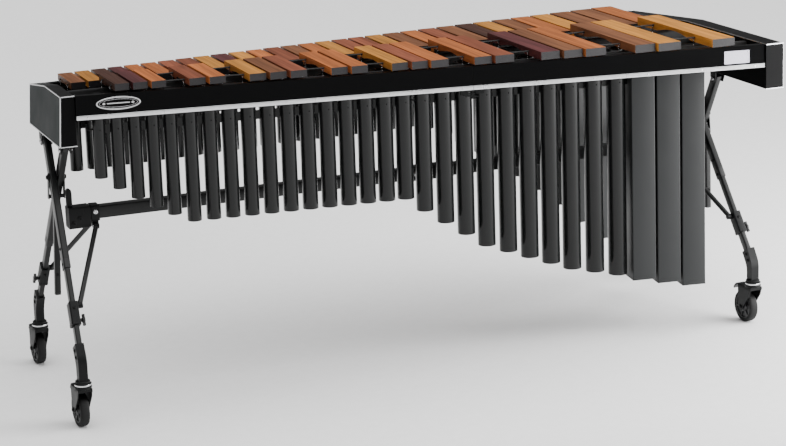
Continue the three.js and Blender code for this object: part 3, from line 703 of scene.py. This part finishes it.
def build_beam():
    middle = BEAM_TOP - BEAM / 2
    high_block, low_block = ([FRAMES[end].hub_x + reach for reach in BLOCK_REACH[end]]
                             for end in ("high", "low"))
    beam = Piece("lower_beam")
    outer = lifted(BEAM, BEAM, 3.5, middle)
    inner = lifted(BEAM - 4, BEAM - 4, 1.8, middle)
    beam.add(hollow(outer, inner, high_block[1] - 19.6, low_block[0] + 19.6, "x"), "leg")
    beam.done("centre_beam", 0.4)

    couple = Piece("beam_coupling_sleeve")
    outer = lifted(BEAM + 7, BEAM + 7, 5, middle)
    inner = lifted(BEAM + 0.8, BEAM + 0.8, 3.4, middle)
    couple.add(hollow(outer, inner, JOINT_X - 70, JOINT_X + 70, "x"), "steel")
    for x in (-52, 52):
        for y in (-1, 1):
            couple.screw(5, 3.4, (0, y, 0), (JOINT_X + x, y * 21.5, middle), "chrome")
    couple.done("beam_coupling", 0.8)

    for end, side in (("high", -1), ("low", 1)):
        x = side * CLAMP_X
        clamp = Piece(f"{end}_beam_collar")
        outer = lifted(46, 46, 5, middle)
        inner = lifted(36.6, 36.6, 3.5, middle)
        clamp.add(hollow(outer, inner, x - 12, x + 12, "x"), "steel")
        clamp.add(prism([(-16, 514), (-16, 500), (-11, 495), (11, 495), (16, 500), (16, 514)],
                        x - 9, x + 9, "x"), "steel")
        for y in (-1, 1):
            clamp.screw(4.4, 3, (0, y, 0), (x, y * 23, middle + 4), "chrome")
        clamp.done(f"{end}_beam_clamp", 1.0, segments=3)

    for end, (x0, x1), inward in (("high", high_block, 1), ("low", low_block, -1)):
        block = Piece(f"{end}_beam_bracket")
        socket = sorted((x1 - 20.3, x1)) if inward > 0 else sorted((x0, x0 + 20.3))
        rest = (x0, socket[0]) if inward > 0 else (socket[1], x1)
        outer = lifted(48, 62, 4, BLOCK_MIDDLE)
        inner = lifted(36.6, 36.6, 3.5, middle)
        block.add(hollow(outer, inner, *socket, "x"), "steel")
        block.add(prism(outer, *rest, "x"), "steel")
        for dx in (0.3, 0.75):
            for y in (-1, 1):
                at = (mix(*rest, dx), y * 24, 505 + 30 * dx)
                block.screw(5.2, 3.4, (0, y, 0), at)
        if end == "high":
            stop = [(x0, 557), (x0 + 15, 557), (x0 + 15, 598), (x0 + 13.5, 608), (x0 + 8, 612), (x0 + 2, 610),
                    (x0, 604)]
            block.add(prism(stop, -8, 8, "y"), "steel")
        block.done(f"{end}_beam_block", 1.2, segments=3)


# ---- side rails ----
RAIL_THICK = 20
RAIL_ENDS = (-1003.7, 987.7)
NEAR_RAIL = (845, 914)
FAR_RAIL = (822, 887)
STRIP_Z = 852
BADGE_AT = (-888, 887)
LABEL_AT = (902, 882)
RAIL_TURN = -math.atan2(HALF_WIDTH_LOW - HALF_WIDTH_HIGH, FRAME_LENGTH)


def slanted(x0, x1, near, far, low, high, cuts=1):
    """A bar along X whose two sides follow near(x) and far(x)."""
    xs = [mix(x0, x1, k / cuts) for k in range(cuts + 1)]
    outline = [(x, near(x)) for x in xs] + [(x, far(x)) for x in reversed(xs)]
    return prism(outline, low, high)


def build_rails():
    for side, (low, high) in (("near", NEAR_RAIL), ("far", FAR_RAIL)):
        sign = -1 if side == "near" else 1
        for end, x0, x1 in (("high", RAIL_ENDS[0], JOINT_X - GAP), ("low", JOINT_X + GAP, RAIL_ENDS[1])):
            rail = Piece(f"{side}_{end}_fascia")

            def outer(x):
                return sign * half_width(x)

            def inner(x):
                return sign * (half_width(x) - RAIL_THICK)

            rail.add(slanted(x0, x1, outer, inner, low, high, 12), "gloss")
            # Screw heads that hold the rail to the end-board.
            at_end = x0 + 14 if end == "high" else x1 - 14
            for z in (low + 15, high - 15):
                at = (at_end, inner(at_end), z)
                rail.screw(2.6, 1.6, (0, -sign, 0), at, "chrome")
            rail.done(f"{side}_rail_{end}", 1.3, segments=3)

            if side == "near":
                strip = Piece(f"bright_strip_{end}")
                section = [(0, -6), (1.6, -6), (2.4, -4.6), (2.4, -3.2), (1.5, -2.6), (1.5, 2.6), (2.4, 3.2),
                           (2.4, 4.6), (1.6, 6), (0, 6)]
                points = []
                ends = (x0 + 0.2, x1 - 0.2)
                for x in ends:
                    points += [Vector((x, -half_width(x) - GAP - a, STRIP_Z + b)) for a, b in section]
                strip.add((points, between(len(section))), "strip")
                for k in range(6):
                    x = mix(ends[0] + 30, ends[1] - 30, k / 5)
                    at = (x, -half_width(x) - GAP - 1.5, STRIP_Z)
                    strip.add(lathe([(0, 0), (2.3, 0), (2.0, 0.5), (0, 0.7)], 16), "chrome",
                              facing((0, -1, 0), at))
                strip.done(f"near_strip_{end}", 0.25)


def on_rail(x, z):
    """Axes lying on the near rail's face: X along it, Y out of it, Z up."""
    return turned((x, -half_width(x) - GAP, z), RAIL_TURN) @ Matrix.Rotation(math.pi, 4, "Z")


def oval(a, b, steps=64):
    return [(a * math.cos(2 * math.pi * k / steps), b * math.sin(2 * math.pi * k / steps))
            for k in range(steps)]


def build_plates():
    badge = Piece("oval_badge")
    place = on_rail(*BADGE_AT)
    badge.add(prism(oval(60.8, 17.8), 0.0, 1.2, "y"), "gloss", place)
    badge.add(hollow(oval(61.8, 18.8), oval(57.6, 14.8), 0.0, 1.9, "y"), "trim", place)
    badge.add(hollow(oval(53.5, 11.4), oval(52.6, 10.5), 1.0, 1.5, "y"), "trim", place)
    # A plain raised ornament: a bar with two diamonds.
    badge.add(prism(rounded(64, 3.0, 1.4), 1.0, 1.7, "y"), "trim", place)
    for x in (-40, 40):
        badge.add(prism([(x - 5, 0), (x, 4), (x + 5, 0), (x, -4)], 1.0, 1.7, "y"), "trim", place)
    badge.done("badge_plate", 0.3)

    label = Piece("blank_label")
    place = on_rail(*LABEL_AT)
    label.add(prism(rounded(77.6, 37.6, 2.0), 0.0, 0.7, "y"), "label", place)
    label.add(hollow(rounded(78, 38, 2.2), rounded(74.6, 34.6, 1.4), 0.1, 1.15, "y"), "label", place)
    for x in (-33.5, 33.5):
        for z in (-13.8, 13.8):
            label.add(shifted(lathe([(0, 0.5), (1.5, 0.5), (1.2, 1.1), (0, 1.15)], 16, "y"), x, 0, z),
                      "chrome", place)
    label.done("label_plate", 0.2)

    for name, side, low in (("near_latch", -1, NEAR_RAIL[0]), ("far_latch", 1, FAR_RAIL[0])):
        y = side * (half_width(JOINT_X) - RAIL_THICK / 2)
        place = turned((JOINT_X, y, low - GAP), -side * RAIL_TURN)
        latch = Piece(f"{name}_clasp")
        for x0, x1 in ((-38, -2), (2, 38)):
            latch.add(box(x0, x1, -8, 8, -4, 0), "steel", place)
        latch.add(box(-34, -12, -6.5, 6.5, -14, -3.5), "steel", place)
        latch.add(box(12, 34, -6, 6, -12, -3.5), "steel", place)
        latch.add(lathe([(0, -7.5), (3.4, -7.5), (3.4, 7.5), (0, 7.5)], 18, "y", (-24, 0, -13)),
                  "steel", place)
        lever = [(-30, -13.2), (-24, -17), (-8, -19.5), (12, -21.9), (16, -21), (16, -18.6), (6, -17),
                 (-10, -14.6), (-20, -10)]
        latch.add(prism(lever, 2 * side - 3, 2 * side + 3, "y"), "steel", place)
        for y in (5.5, -5.5):
            latch.add(sweep([(-24, y, -12), (22, y, -9.5)], 1.1), "steel", place)
        latch.done(name, 0.7)


# ---- bars ----
NATURALS = 31
SLOTS = 30
EMPTY_SLOTS = (0, 4, 7, 11, 14, 18, 21, 25, 28)
FIRST_SLOT_X = -926
PITCHES = ((4, 50.5), (8, 56), (17, 57.5), (20, 63), (24, 67.5), (27, 74), (31, 82))
BAR_SPACING = 9.5
LOW_SHIFT = 29
NATURAL_TOP = 918
ACCIDENTAL_TOP = 940
BAR_THICK = (19, 24)
NODAL = 0.224
HIGH_SHARE = 0.55  # the part of each row that belongs to the high group
CORD_RADIUS = 2.2
SUPPORT_DROP = 9
# The colour of each bar from high to low: dark, purple, red, brown, orange and yellow wood.
WOODS = {
    "d": (0.062, 0.025, 0.016), "p": (0.090, 0.025, 0.025), "r": (0.238, 0.071, 0.035),
    "b": (0.204, 0.080, 0.035), "o": (0.402, 0.122, 0.035), "y": (0.530, 0.221, 0.041),
}
ACCIDENTAL_WOODS = "dporoybrooyroorpbobyy"
NATURAL_WOODS = "bydpoorrypyorboyrryborbdyboybbo"


def pitch_of(i):
    return next(step for end, step in PITCHES if i < end)


slot_x = [FIRST_SLOT_X]
for slot_index in range(1, SLOTS):
    slot_x.append(slot_x[-1] + pitch_of(slot_index - 1))


def natural_x(i):
    before = slot_x[0] - pitch_of(0) if i == 0 else slot_x[i - 1]
    after = slot_x[-1] + pitch_of(i) if i == NATURALS - 1 else slot_x[i]
    return (before + after) / 2 - LOW_SHIFT * (i / (NATURALS - 1)) ** 3


ACCIDENTAL_ENDS = (lambda x: -half_width(x) + 1, lambda x: mix(-42, 22, along(x)))
NATURAL_ENDS = (lambda x: mix(-18, 26, along(x)), lambda x: mix(138, 390, along(x)))


def node_line(ends, far):
    share = 1 - NODAL if far else NODAL
    return lambda x: mix(ends[0](x), ends[1](x), share)


natural_bars = []
for i in range(NATURALS):
    gaps = [natural_x(k) - natural_x(k - 1) for k in (i, i + 1) if 0 < k < NATURALS]
    natural_bars.append((natural_x(i), min(gaps) - BAR_SPACING, i / (NATURALS - 1), NATURAL_WOODS[i]))
accidental_bars = []
for i in range(SLOTS):
    if i not in EMPTY_SLOTS:
        wood = ACCIDENTAL_WOODS[len(accidental_bars)]
        accidental_bars.append((slot_x[i], pitch_of(i) - BAR_SPACING, i / (SLOTS - 1), wood))


def bar_shape(x, width, ends, thick, top, arch):
    """A bar: flat on top, hollowed underneath between its two resting points."""
    near, far = ends[0](x), ends[1](x)
    steps = 28
    shares = [0, 0.5 * NODAL] + [mix(0.25, 0.75, k / steps) for k in range(steps + 1)]
    shares += [1 - 0.5 * NODAL, 1]
    points = []
    for share in shares:
        y = mix(near, far, share)
        u = min(max((share - 0.27) / 0.46, 0), 1)
        under = top - thick + arch * math.sin(math.pi * u) 
        ring = ((-1, top), (1, top), (1, under), (-1, under))
        points += [Vector((x + s * width / 2, y, z)) for s, z in ring]
    n = len(shares)
    faces = [(0, 1, 2, 3), tuple(4 * (n - 1) + k for k in (3, 2, 1, 0))]
    looks = ["end", "end"]
    for i in range(n - 1):
        for k in range(4):
            m = (k + 1) % 4
            faces.append((4 * i + k, 4 * i + 4 + k, 4 * i + 4 + m, 4 * i + m))
            looks.append("wood")
    return (points, faces), looks


def build_bars():
    pick = random.Random(7)
    rows = (("natural", natural_bars, NATURAL_ENDS, NATURAL_TOP),
            ("accidental", accidental_bars, ACCIDENTAL_ENDS, ACCIDENTAL_TOP))
    hole = CORD_RADIUS + 0.3
    for row, bars, ends, top in rows:
        z = top - BAR_THICK[0] / 2 - 1
        for group in ("high", "low"):
            piece = Piece(f"{row}_{group}_bars")
            chosen = [b for b in bars if (b[2] < HIGH_SHARE) == (group == "high")]
            for x, width, t, wood in chosen:
                thick = mix(*BAR_THICK, t)
                shape, looks = bar_shape(x, width, ends, thick, top, thick * mix(0.15, 0.6, t))
                shift = tuple(pick.uniform(-9, 9) for _ in range(3))
                gain = pick.uniform(0.9, 1.12)
                color = tuple(c * gain for c in WOODS[wood])
                piece.add(shape, looks, tone=(color, shift))
                # No hole is cut: a flat dark ring round the cord on each side of the bar is painted shade,
                # standing in for the shaded inside of the drilled hole.
                for far in (False, True):
                    y = node_line(ends, far)(x)
                    for s in (-1, 1):
                        piece.add(lathe([(hole, 0), (3.6, 0), (3.4, 0.25), (hole, 0.25)], 20), "matt",
                                  facing((s, 0, 0), (x + s * width / 2, y, z)))
            first = chosen[0][0] - chosen[0][1] / 2 - 2.4
            last = chosen[-1][0] + chosen[-1][1] / 2 + 2.4
            for far in (False, True):
                line = node_line(ends, far)
                route = [(x, line(x), z) for x in (first, mix(first, last, 0.5), last)]
                piece.add(sweep(route, CORD_RADIUS), "cord")
            piece.done(f"{row}_bars_{group}", 1.3, segments=3)


# ---- support rails and cord posts ----
def build_supports():
    for name, bars, ends, far, top in (
            ("near_support_rail", accidental_bars, ACCIDENTAL_ENDS, False, ACCIDENTAL_TOP),
            ("near_inner_rail", accidental_bars, ACCIDENTAL_ENDS, True, ACCIDENTAL_TOP),
            ("far_inner_rail", natural_bars, NATURAL_ENDS, False, NATURAL_TOP),
            ("far_support_rail", natural_bars, NATURAL_ENDS, True, NATURAL_TOP)):
        line = node_line(ends, far)
        rail_top = top - BAR_THICK[1] - SUPPORT_DROP
        piece = Piece(f"{name}_beam")
        piece.add(slanted(*RAIL_ENDS, lambda x: line(x) - 9, lambda x: line(x) + 9,
                          rail_top - 46, rail_top - 1.6), "matt")
        piece.add(slanted(*RAIL_ENDS, lambda x: line(x) - 6, lambda x: line(x) + 6,
                          rail_top - 1.8, rail_top), "felt")
        tip = top - BAR_THICK[0] / 2 - 1 - CORD_RADIUS - 1
        for x, width, *_ in bars:
            for s in (-1, 1):
                at = x + s * ((width + 3.5) / 2 + 1.5)
                y = line(at)
                piece.add(lathe([(0, rail_top - 2), (2.6, rail_top - 2), (2.6, rail_top + 1.2),
                                 (1.35, rail_top + 1.6), (1.35, tip - 5), (1.75, tip - 4.6), (1.75, tip - 1),
                                 (1.2, tip), (0, tip)], 12, "z", (at, y, 0)), "chrome")
                for prong in (y - 1.9, y + 1.9):
                    piece.add(sweep([(at - 1.2 * s, prong, tip - 0.6), (at - 0.3 * s, prong, tip + 1.6),
                                     (at - 0.3 * s, prong, tip + 4.4)], 0.75, 8), "rubber")
        piece.done(name, 0.5)


# ---- resonators ----
STEP_GRADES = ((4, 42), (8, 25.5), (SLOTS, 17.8))
ROUND_TUBES = 27
TUBE_WIDTHS = (37.6, 60)
BOX_WIDTH, BOX_DEPTH = 73, 84
NEAR_TUBE_TOP = ACCIDENTAL_TOP - 40
FAR_TUBE_TOP = NATURAL_TOP - 40
SPLIT_TUBE = 16


def near_bottom(slot):
    level, first, last = 511, 5, 16
    if slot < first:
        return level + 24 * (first - slot) + 1.2 * (first - slot) ** 2
    bottom = level
    for past in range(1, slot - last + 1):
        bottom -= next(fall for end, fall in STEP_GRADES if past <= end)
    return bottom


def far_bottom(i):
    level, last = 647, 19
    if i <= last:
        return level
    return level - 510 * ((i - last) / (NATURALS - 1 - last)) ** 1.5


def round_tube(x, y, width, bottom, top):
    r = width / 2
    sides = 56
    outside = lathe([(0, bottom + 2.2), (r - 3.6, bottom + 2.2), (r - 2.6, bottom + 1.2), (r - 2.2, bottom),
                     (r - 0.9, bottom), (r - 0.15, bottom + 0.9), (r - 0.15, top - 3.4), (r, top - 3.0),
                     (r, top - 0.5), (r - 0.5, top), (r - 1.2, top), (r - 1.5, top - 0.5),
                     (r - 1.5, bottom + 5), (0, bottom + 5)], sides, "z", (x, y, 0))
    count = len(outside[1])
    inside = sides * 2
    return outside, ["tube"] * (count - inside) + ["bore"] * inside


def build_resonators():
    rows = (
        ("near", SLOTS, lambda i: slot_x[i], lambda t: mix(-120, -243, t), near_bottom,
         ROUND_TUBES, RAIL_TURN, NEAR_TUBE_TOP, 800),
        ("far", NATURALS, natural_x, lambda t: mix(66, 208, t), far_bottom,
         ROUND_TUBES + 1, -RAIL_TURN, FAR_TUBE_TOP, 780),
    )
    for row, count, x_of, y_of, bottom_of, first_box, turn, top, web_z in rows:
        for group in ("high", "low"):
            chosen = [i for i in range(count) if (i <= SPLIT_TUBE) == (group == "high")]
            piece = Piece(f"{row}_{group}_resonator_tubes")
            centres = []
            for i in chosen:
                t = i / (count - 1)
                x, y, bottom = x_of(i), y_of(t), bottom_of(i)
                centres.append((x, y))
                if i < first_box:
                    shape, looks = round_tube(x, y, mix(*TUBE_WIDTHS, t), bottom, top)
                    piece.add(shape, looks)
                    continue
                place = turned((x, y, 0), turn)
                outer = rounded(BOX_WIDTH, BOX_DEPTH, 2.4)
                bore = rounded(BOX_WIDTH - 3.6, BOX_DEPTH - 3.6, 1.0)
                piece.add(hollow(outer, bore, bottom + 0.2, top), "box", place)
                piece.add(prism(bore, bottom + 2.4, bottom + 4.4), "box", place)
                lip = rounded(BOX_WIDTH + 1.2, BOX_DEPTH + 1.2, 2.8)
                inner = rounded(BOX_WIDTH - 0.4, BOX_DEPTH - 0.4, 2.2)
                piece.add(hollow(lip, inner, bottom, bottom + 5), "box", place)
            (x0, y0), (x1, y1) = centres[0], centres[-1]
            away = -1 if row == "near" else 1
            for side in (-1, 1):
                # Flat carrier strips along both faces of the bank, riveted to every tube.
                def face(shift):
                    return lambda x: mix(y0, y1, (x - x0) / (x1 - x0)) + shift
                piece.add(slanted(x0, x1, face(side * 1.2 - 0.8), face(side * 1.2 + 0.8),
                                  web_z - 13, web_z + 13), "tube")
            for k, i in enumerate(chosen):
                x, y = centres[k]
                if i < first_box:
                    r = mix(*TUBE_WIDTHS, i / (count - 1)) / 2
                    piece.add(lathe([(0, 0), (2.4, 0), (2.1, 0.6), (1.2, 1.1), (0, 1.2)], 16), "steel",
                              facing((0, away, 0), (x, y + away * (r - 0.3), web_z)))
            # A hook at each end of the bank, hung on a pin in the end-board or at the joint.
            slope = (y1 - y0) / (x1 - x0)
            for x, y, d in ((x0, y0, -1), (x1, y1, 1)):
                reach = 26 if d < 0 else 30
                at = Vector((x, y, web_z))
                along_bank = Vector((d, d * slope, 0)).normalized()
                start = at + along_bank * (reach - 12)
                tip = start + along_bank * 20
                hook = [start, start + along_bank * 16, tip + Vector((0, 0, 4)), tip + Vector((0, 0, 16))]
                piece.add(sweep(hook, 2.6), "steel")
            piece.done(f"{row}_resonators_{group}", 0.5, angle=40)


# ---- everything in its place ----
for one_end in ("high", "low"):
    build_board(one_end)
    build_post(one_end)
    for one_side in ("near", "far"):
        build_leg(one_end, one_side)
build_beam()
build_rails()
build_plates()
build_bars()
build_supports()
build_resonators()


# ---- floor, light and camera ----
def build_floor():
    mesh = bpy.data.meshes.new("studio_floor")
    size, cuts = 26.0, 24
    points = [(mix(-size, size, i / cuts), mix(-size, size, j / cuts), 0)
              for j in range(cuts + 1) for i in range(cuts + 1)]
    row = cuts + 1
    faces = [(j * row + i, j * row + i + 1, (j + 1) * row + i + 1, (j + 1) * row + i)
             for j in range(cuts) for i in range(cuts)]
    mesh.from_pydata(points, [], faces)
    mesh.materials.append(MAT["floor"])
    floor = bpy.data.objects.new("studio_floor", mesh)
    scene.collection.objects.link(floor)


def add_light(name, kind, power):
    light = bpy.data.lights.new(name, kind)
    light.energy = power
    lamp = bpy.data.objects.new(name, light)
    scene.collection.objects.link(lamp)
    return light, lamp


build_floor()
# A wide soft sky light from above and a tall softbox at the low end.
sky, overhead = add_light("overhead", "SUN", 4.0)
sky.angle = math.radians(75)
overhead.rotation_euler = (math.radians(8), math.radians(6), 0)
softbox, right_tall = add_light("right_tall", "AREA", 300)
softbox.shape = "RECTANGLE"
softbox.size = 3.2
softbox.size_y = 2.2
right_tall.location = (3.05, -1.3, 1.1)
shine = Vector((2.36, -0.58, 1.1)) - right_tall.location
right_tall.rotation_euler = shine.to_track_quat("-Z", "Y").to_euler()
right_tall.visible_camera = False

world = bpy.data.worlds.new("studio")
scene.world = world
world.use_nodes = True
tree = world.node_tree
backdrop = tree.nodes["Background"]
backdrop.inputs["Color"].default_value = (0.2, 0.2, 0.2, 1)
backdrop.inputs["Strength"].default_value = 1.0
seen = tree.nodes.new("ShaderNodeBackground")
seen.inputs["Color"].default_value = (1, 1, 1, 1)
seen.inputs["Strength"].default_value = 1.0
rays = tree.nodes.new("ShaderNodeLightPath")
choose = tree.nodes.new("ShaderNodeMixShader")
tree.links.new(rays.outputs["Is Camera Ray"], choose.inputs["Fac"])
tree.links.new(backdrop.outputs["Background"], choose.inputs[1])
tree.links.new(seen.outputs["Background"], choose.inputs[2])
tree.links.new(choose.outputs["Shader"], tree.nodes["World Output"].inputs["Surface"])

# Camera at eye height, in front of the middle of the keyboard and to the high side.
CAMERA_PLACE = (-2.4012 + CENTRE_SHIFT * MM, -6.2772, 2.1178)
CAMERA_YAW = 0.3649
CAMERA_PITCH = 0.2172
CAMERA_ROLL = -0.0333
LENS_MM = 105.385
camera_data = bpy.data.cameras.new("camera")
camera_data.sensor_width = 36
camera_data.lens = LENS_MM
camera_data.shift_y = -0.1018
camera_data.clip_end = 200
camera = bpy.data.objects.new("camera", camera_data)
ahead = Vector((math.sin(CAMERA_YAW) * math.cos(CAMERA_PITCH),
                math.cos(CAMERA_YAW) * math.cos(CAMERA_PITCH), -math.sin(CAMERA_PITCH)))
level = Vector((math.cos(CAMERA_YAW), -math.sin(CAMERA_YAW), 0))
upright = level.cross(ahead)
across = level * math.cos(CAMERA_ROLL) + upright * math.sin(CAMERA_ROLL)
upward = upright * math.cos(CAMERA_ROLL) - level * math.sin(CAMERA_ROLL)
camera.matrix_world = Matrix((
    (across.x, upward.x, -ahead.x, CAMERA_PLACE[0]),
    (across.y, upward.y, -ahead.y, CAMERA_PLACE[1]),
    (across.z, upward.z, -ahead.z, CAMERA_PLACE[2]),
    (0, 0, 0, 1)))
scene.collection.objects.link(camera)
scene.camera = camera

bpy.context.view_layer.update()
